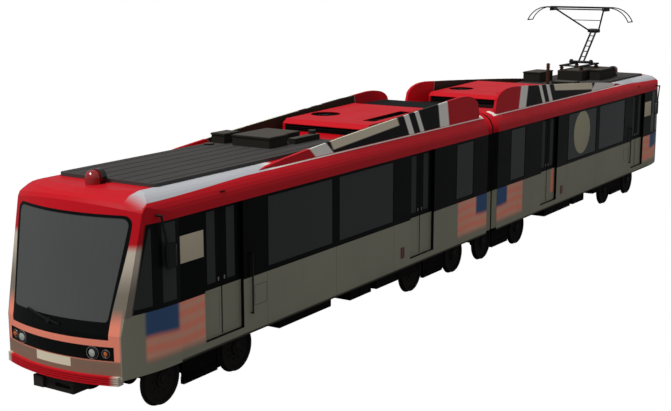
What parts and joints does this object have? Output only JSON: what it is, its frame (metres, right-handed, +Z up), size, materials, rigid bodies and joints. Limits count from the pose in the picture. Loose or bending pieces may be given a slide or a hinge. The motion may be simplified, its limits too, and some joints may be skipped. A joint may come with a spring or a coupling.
{
  "type": "articulated tram",
  "caption": "Articulated tram of hinged sections with a raked cab at each end, swivelling bogies, sliding doors, roof fairings and a folding pantograph.",
  "frame": {"origin": "on the articulation axis, on the plane the wheel flanges stand on", "axes": "+X to the front cab, +Y to the vehicle's left, +Z up"},
  "size_m": [24.232, 2.968, 5.585],
  "materials": {
    "underframe": "dark frame paint",
    "side_panels": "satin paint",
    "window_band": "gloss black paint",
    "body_red": "gloss paint",
    "glass": "dark tinted",
    "roof_gear": "matt dark grey",
    "fairing": "striped gloss",
    "lamps": "clear lens",
    "steel": "dull steel",
    "trim_black": "matt black",
    "interior": "grained",
    "bellows": "folded fabric",
    "door_leaf": "grey below, black above",
    "bogie": "dark frame paint",
    "wheel_steel": "worn steel",
    "panto_tube": "matt dark paint",
    "contact_strip": "graphite"
  },
  "bodies": {
    "front_section": {"front_underframe": "underframe", "front_lower_walls": "side_panels", "front_window_band": "window_band", "front_roof": "body_red", "front_cab": "body_red", "front_glazing": "glass", "front_roof_deck": "roof_gear", "front_climate_pod": "body_red", "front_fairings": "fairing", "front_lamps": "lamps", "front_coupler": "steel", "front_mirrors": "trim_black", "front_interior": "interior", "bellows": "bellows"},
    "rear_section": {"rear_underframe": "underframe", "rear_lower_walls": "side_panels", "rear_window_band": "window_band", "rear_roof": "body_red", "rear_cab": "body_red", "rear_glazing": "glass", "rear_roof_deck": "roof_gear", "rear_climate_pod": "body_red", "rear_fairings": "fairing", "rear_lamps": "lamps", "rear_coupler": "steel", "rear_mirrors": "trim_black", "rear_interior": "interior", "panto_base": "roof_gear"},
    "front_left_outer_leaf_fore": {"front_left_outer_leaf_fore": "door_leaf"},
    "front_left_outer_leaf_aft": {"front_left_outer_leaf_aft": "door_leaf"},
    "front_left_inner_leaf_fore": {"front_left_inner_leaf_fore": "door_leaf"},
    "front_left_inner_leaf_aft": {"front_left_inner_leaf_aft": "door_leaf"},
    "front_right_outer_leaf_fore": {"front_right_outer_leaf_fore": "door_leaf"},
    "front_right_outer_leaf_aft": {"front_right_outer_leaf_aft": "door_leaf"},
    "front_right_inner_leaf_fore": {"front_right_inner_leaf_fore": "door_leaf"},
    "front_right_inner_leaf_aft": {"front_right_inner_leaf_aft": "door_leaf"},
    "rear_left_outer_leaf_fore": {"rear_left_outer_leaf_fore": "door_leaf"},
    "rear_left_outer_leaf_aft": {"rear_left_outer_leaf_aft": "door_leaf"},
    "rear_left_inner_leaf_fore": {"rear_left_inner_leaf_fore": "door_leaf"},
    "rear_left_inner_leaf_aft": {"rear_left_inner_leaf_aft": "door_leaf"},
    "rear_right_outer_leaf_fore": {"rear_right_outer_leaf_fore": "door_leaf"},
    "rear_right_outer_leaf_aft": {"rear_right_outer_leaf_aft": "door_leaf"},
    "rear_right_inner_leaf_fore": {"rear_right_inner_leaf_fore": "door_leaf"},
    "rear_right_inner_leaf_aft": {"rear_right_inner_leaf_aft": "door_leaf"},
    "front_outer_bogie": {"front_outer_bogie": "bogie"},
    "front_outer_axle_1": {"front_outer_axle_1": "wheel_steel"},
    "front_outer_axle_2": {"front_outer_axle_2": "wheel_steel"},
    "front_inner_bogie": {"front_inner_bogie": "bogie"},
    "front_inner_axle_1": {"front_inner_axle_1": "wheel_steel"},
    "front_inner_axle_2": {"front_inner_axle_2": "wheel_steel"},
    "rear_outer_bogie": {"rear_outer_bogie": "bogie"},
    "rear_outer_axle_1": {"rear_outer_axle_1": "wheel_steel"},
    "rear_outer_axle_2": {"rear_outer_axle_2": "wheel_steel"},
    "rear_inner_bogie": {"rear_inner_bogie": "bogie"},
    "rear_inner_axle_1": {"rear_inner_axle_1": "wheel_steel"},
    "rear_inner_axle_2": {"rear_inner_axle_2": "wheel_steel"},
    "panto_lower_arm": {"panto_lower_arm": "panto_tube"},
    "panto_upper_arm": {"panto_upper_arm": "panto_tube"},
    "panto_head": {"panto_head": "contact_strip"}
  },
  "joints": [
    {"name": "articulation", "type": "hinge", "parent": "front_section", "child": "rear_section", "pos_m": [0, 0, 0.685], "axis": [0, 0, 1], "range_deg": [-20, 20], "deforming": ["bellows"]},
    {"name": "front_left_outer_door_fore", "type": "slide", "parent": "front_section", "child": "front_left_outer_leaf_fore", "axis": [1, 0, 0], "range_m": [0, 0.48]},
    {"name": "front_left_outer_door_aft", "type": "slide", "parent": "front_section", "child": "front_left_outer_leaf_aft", "axis": [-1, 0, 0], "range_m": [0, 0.48]},
    {"name": "front_left_inner_door_fore", "type": "slide", "parent": "front_section", "child": "front_left_inner_leaf_fore", "axis": [1, 0, 0], "range_m": [0, 0.48]},
    {"name": "front_left_inner_door_aft", "type": "slide", "parent": "front_section", "child": "front_left_inner_leaf_aft", "axis": [-1, 0, 0], "range_m": [0, 0.48]},
    {"name": "front_right_outer_door_fore", "type": "slide", "parent": "front_section", "child": "front_right_outer_leaf_fore", "axis": [1, 0, 0], "range_m": [0, 0.48]},
    {"name": "front_right_outer_door_aft", "type": "slide", "parent": "front_section", "child": "front_right_outer_leaf_aft", "axis": [-1, 0, 0], "range_m": [0, 0.48]},
    {"name": "front_right_inner_door_fore", "type": "slide", "parent": "front_section", "child": "front_right_inner_leaf_fore", "axis": [1, 0, 0], "range_m": [0, 0.48]},
    {"name": "front_right_inner_door_aft", "type": "slide", "parent": "front_section", "child": "front_right_inner_leaf_aft", "axis": [-1, 0, 0], "range_m": [0, 0.48]},
    {"name": "rear_left_outer_door_fore", "type": "slide", "parent": "rear_section", "child": "rear_left_outer_leaf_fore", "axis": [-1, 0, 0], "range_m": [0, 0.48]},
    {"name": "rear_left_outer_door_aft", "type": "slide", "parent": "rear_section", "child": "rear_left_outer_leaf_aft", "axis": [1, 0, 0], "range_m": [0, 0.48]},
    {"name": "rear_left_inner_door_fore", "type": "slide", "parent": "rear_section", "child": "rear_left_inner_leaf_fore", "axis": [-1, 0, 0], "range_m": [0, 0.48]},
    {"name": "rear_left_inner_door_aft", "type": "slide", "parent": "rear_section", "child": "rear_left_inner_leaf_aft", "axis": [1, 0, 0], "range_m": [0, 0.48]},
    {"name": "rear_right_outer_door_fore", "type": "slide", "parent": "rear_section", "child": "rear_right_outer_leaf_fore", "axis": [-1, 0, 0], "range_m": [0, 0.48]},
    {"name": "rear_right_outer_door_aft", "type": "slide", "parent": "rear_section", "child": "rear_right_outer_leaf_aft", "axis": [1, 0, 0], "range_m": [0, 0.48]},
    {"name": "rear_right_inner_door_fore", "type": "slide", "parent": "rear_section", "child": "rear_right_inner_leaf_fore", "axis": [-1, 0, 0], "range_m": [0, 0.48]},
    {"name": "rear_right_inner_door_aft", "type": "slide", "parent": "rear_section", "child": "rear_right_inner_leaf_aft", "axis": [1, 0, 0], "range_m": [0, 0.48]},
    {"name": "front_outer_swivel", "type": "hinge", "parent": "front_section", "child": "front_outer_bogie", "pos_m": [9.58, 0, 0.65], "axis": [0, 0, 1], "range_deg": [-8, 8]},
    {"name": "front_outer_wheels_1", "type": "hinge", "parent": "front_outer_bogie", "child": "front_outer_axle_1", "pos_m": [10.53, 0, 0.433], "axis": [0, 1, 0], "continuous": true},
    {"name": "front_outer_wheels_2", "type": "hinge", "parent": "front_outer_bogie", "child": "front_outer_axle_2", "pos_m": [8.63, 0, 0.433], "axis": [0, 1, 0], "continuous": true},
    {"name": "front_inner_swivel", "type": "hinge", "parent": "front_section", "child": "front_inner_bogie", "pos_m": [1.68, 0, 0.65], "axis": [0, 0, 1], "range_deg": [-8, 8]},
    {"name": "front_inner_wheels_1", "type": "hinge", "parent": "front_inner_bogie", "child": "front_inner_axle_1", "pos_m": [2.63, 0, 0.433], "axis": [0, 1, 0], "continuous": true},
    {"name": "front_inner_wheels_2", "type": "hinge", "parent": "front_inner_bogie", "child": "front_inner_axle_2", "pos_m": [0.73, 0, 0.433], "axis": [0, 1, 0], "continuous": true},
    {"name": "rear_outer_swivel", "type": "hinge", "parent": "rear_section", "child": "rear_outer_bogie", "pos_m": [-9.58, 0, 0.65], "axis": [0, 0, 1], "range_deg": [-8, 8]},
    {"name": "rear_outer_wheels_1", "type": "hinge", "parent": "rear_outer_bogie", "child": "rear_outer_axle_1", "pos_m": [-10.53, 0, 0.433], "axis": [0, 1, 0], "continuous": true},
    {"name": "rear_outer_wheels_2", "type": "hinge", "parent": "rear_outer_bogie", "child": "rear_outer_axle_2", "pos_m": [-8.63, 0, 0.433], "axis": [0, 1, 0], "continuous": true},
    {"name": "rear_inner_swivel", "type": "hinge", "parent": "rear_section", "child": "rear_inner_bogie", "pos_m": [-1.68, 0, 0.65], "axis": [0, 0, 1], "range_deg": [-8, 8]},
    {"name": "rear_inner_wheels_1", "type": "hinge", "parent": "rear_inner_bogie", "child": "rear_inner_axle_1", "pos_m": [-2.63, 0, 0.433], "axis": [0, 1, 0], "continuous": true},
    {"name": "rear_inner_wheels_2", "type": "hinge", "parent": "rear_inner_bogie", "child": "rear_inner_axle_2", "pos_m": [-0.73, 0, 0.433], "axis": [0, 1, 0], "continuous": true},
    {"name": "panto_raise", "type": "hinge", "parent": "rear_section", "child": "panto_lower_arm", "pos_m": [-8.41, 0, 4.04], "axis": [0, 1, 0], "range_deg": [-38, 12]},
    {"name": "panto_elbow", "type": "hinge", "parent": "panto_lower_arm", "child": "panto_upper_arm", "pos_m": [-9.3, 0, 4.87], "axis": [0, 1, 0], "range_deg": [-20, 62]},
    {"name": "panto_head_tilt", "type": "hinge", "parent": "panto_upper_arm", "child": "panto_head", "pos_m": [-8.14, 0, 5.51], "axis": [0, 1, 0], "range_deg": [-24, 8]}
  ],
  "couplings": [
    {"joint": "front_left_outer_door_aft", "follows": "front_left_outer_door_fore", "ratio": 1},
    {"joint": "front_left_inner_door_aft", "follows": "front_left_inner_door_fore", "ratio": 1},
    {"joint": "front_right_outer_door_aft", "follows": "front_right_outer_door_fore", "ratio": 1},
    {"joint": "front_right_inner_door_aft", "follows": "front_right_inner_door_fore", "ratio": 1},
    {"joint": "rear_left_outer_door_aft", "follows": "rear_left_outer_door_fore", "ratio": 1},
    {"joint": "rear_left_inner_door_aft", "follows": "rear_left_inner_door_fore", "ratio": 1},
    {"joint": "rear_right_outer_door_aft", "follows": "rear_right_outer_door_fore", "ratio": 1},
    {"joint": "rear_right_inner_door_aft", "follows": "rear_right_inner_door_fore", "ratio": 1},
    {"joint": "panto_elbow", "follows": "panto_raise", "ratio": -1.6},
    {"joint": "panto_head_tilt", "follows": "panto_raise", "ratio": 0.6}
  ]
}
